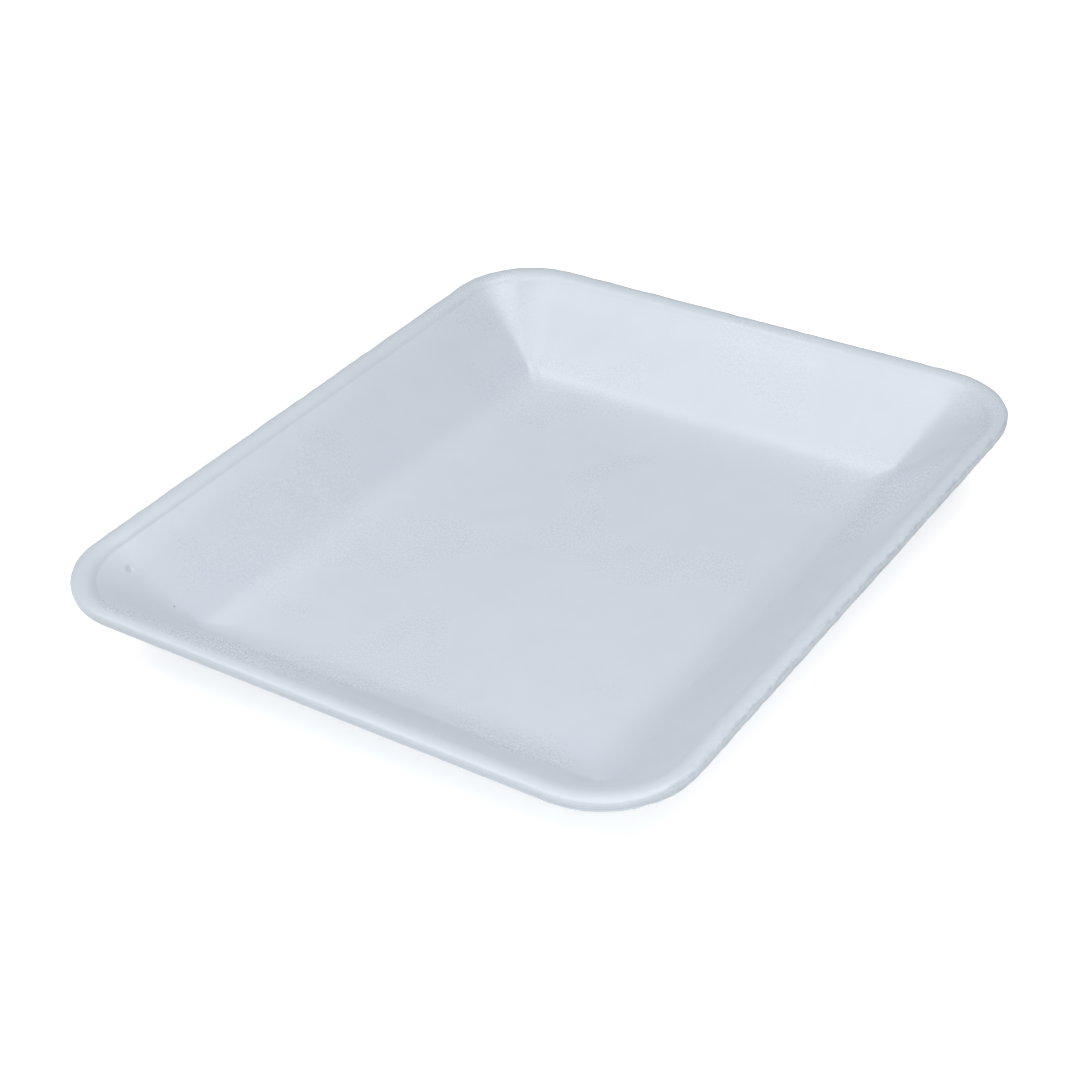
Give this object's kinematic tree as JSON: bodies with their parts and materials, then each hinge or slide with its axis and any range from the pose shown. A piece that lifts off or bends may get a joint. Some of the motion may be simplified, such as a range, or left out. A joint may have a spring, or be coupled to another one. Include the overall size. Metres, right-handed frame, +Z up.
{
  "type": "foam food tray",
  "caption": "Shallow rectangular tray in one piece of white polystyrene foam, with sloping walls, cone-shaped corners and a crowned lip, for packing food.",
  "frame": {"origin": "centre of the flat underside that the tray rests on", "axes": "+Z up out of the tray, Y along its long side, X along its short side"},
  "size_m": [0.18, 0.215, 0.027],
  "materials": {
    "foam": "satin white polystyrene foam skin with fine cells showing"
  },
  "bodies": {
    "root": {"foam_tray": "foam"}
  },
  "joints": []
}
